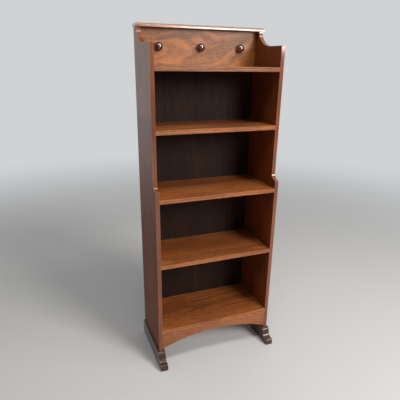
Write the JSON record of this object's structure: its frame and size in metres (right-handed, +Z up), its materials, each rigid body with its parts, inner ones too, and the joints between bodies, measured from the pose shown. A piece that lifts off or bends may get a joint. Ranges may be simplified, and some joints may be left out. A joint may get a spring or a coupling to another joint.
{
  "type": "barrister bookcase",
  "caption": "Narrow open oak bookcase on sledge runners, with a stepped front edge, a knob panel over a display shelf and an arched apron.",
  "frame": {"origin": "on the floor, in the middle of the width and of the length of the runners", "axes": "+X to the right as seen from the front, +Y to the back, +Z up"},
  "size_m": [0.556, 0.312, 1.409],
  "materials": {
    "dark_oak": "satin",
    "warm_oak": "satin",
    "polished_oak": "gloss",
    "back_wood": "matt",
    "steel": "satin"
  },
  "bodies": {
    "root": {"side_left": "dark_oak", "side_right": "dark_oak", "runner_left": "polished_oak", "runner_right": "polished_oak", "bottom_shelf": "warm_oak", "shelf_lower": "warm_oak", "shelf_middle": "warm_oak", "shelf_upper": "warm_oak", "display_shelf": "warm_oak", "apron": "warm_oak", "top_board": "dark_oak", "knob_panel": "warm_oak", "knob_left": "polished_oak", "knob_middle": "polished_oak", "knob_right": "polished_oak", "back_screws": "steel", "top_screws": "steel", "runner_screws": "steel", "top_pellets": "dark_oak", "glue_blocks": "back_wood", "back_board_1": "back_wood", "back_board_2": "back_wood", "back_board_3": "back_wood", "back_board_4": "back_wood", "back_board_5": "back_wood"}
  },
  "joints": []
}
